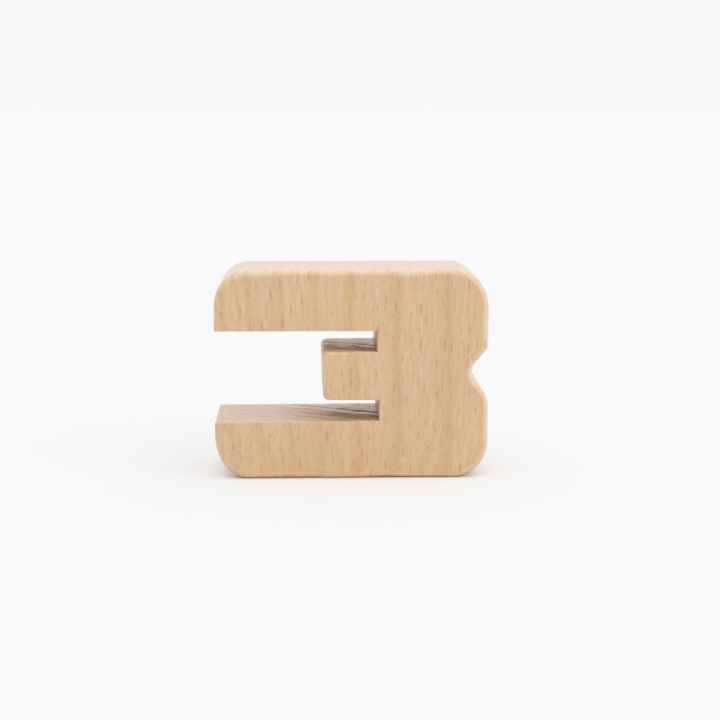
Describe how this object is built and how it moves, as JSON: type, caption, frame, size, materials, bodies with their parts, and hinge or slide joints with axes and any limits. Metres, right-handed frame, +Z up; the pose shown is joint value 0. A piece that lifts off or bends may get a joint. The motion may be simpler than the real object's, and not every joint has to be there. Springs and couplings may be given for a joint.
{
  "type": "number block",
  "caption": "Free-standing wooden figure 3 with straight bars, two saw slots, a notched waist and rounded edges, for counting and stacking play.",
  "frame": {"origin": "under the middle of the block, on the face that it stands on", "axes": "+X to the right of someone who reads the figure, +Y from the front face to the back face, +Z up"},
  "size_m": [0.065, 0.025, 0.05],
  "materials": {
    "beech": "sanded and oiled, satin"
  },
  "bodies": {
    "root": {"number_three": "beech"}
  },
  "joints": []
}
